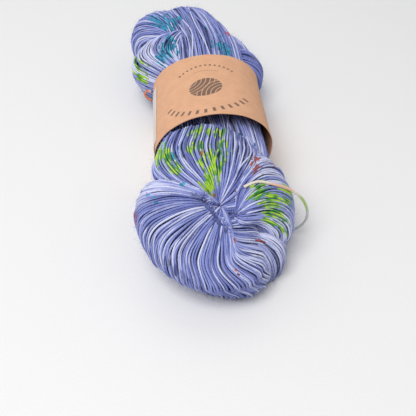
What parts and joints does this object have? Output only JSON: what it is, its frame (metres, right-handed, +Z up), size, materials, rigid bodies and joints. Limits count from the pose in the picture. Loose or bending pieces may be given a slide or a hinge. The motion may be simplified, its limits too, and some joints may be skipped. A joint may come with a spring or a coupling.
{
  "type": "skein of yarn",
  "caption": "Twisted hank of hand-dyed yarn lying on its side, its two plies swelling into lobes at both ends of a brown paper belly band.",
  "frame": {"origin": "middle of the hank on the surface it lies on", "axes": "+Y along the hank from its near end to its far end, +Z up, +X to the right seen from the near end"},
  "size_m": [0.1131, 0.2802, 0.0607],
  "materials": {
    "yarn": "soft single-ply yarn, hand-dyed periwinkle with pale strands and lime, teal and red speckles",
    "kraft_paper": "matte brown kraft paper",
    "sticker_paper": "pale matte sticker paper",
    "tie_thread": "coral cotton thread",
    "loose_yarn": "same yarn, cream to pink to green along its length"
  },
  "bodies": {
    "root": {"hank": "yarn", "label_band": "kraft_paper", "label_sticker": "sticker_paper", "tie": "tie_thread", "loose_strand": "loose_yarn"}
  },
  "joints": []
}
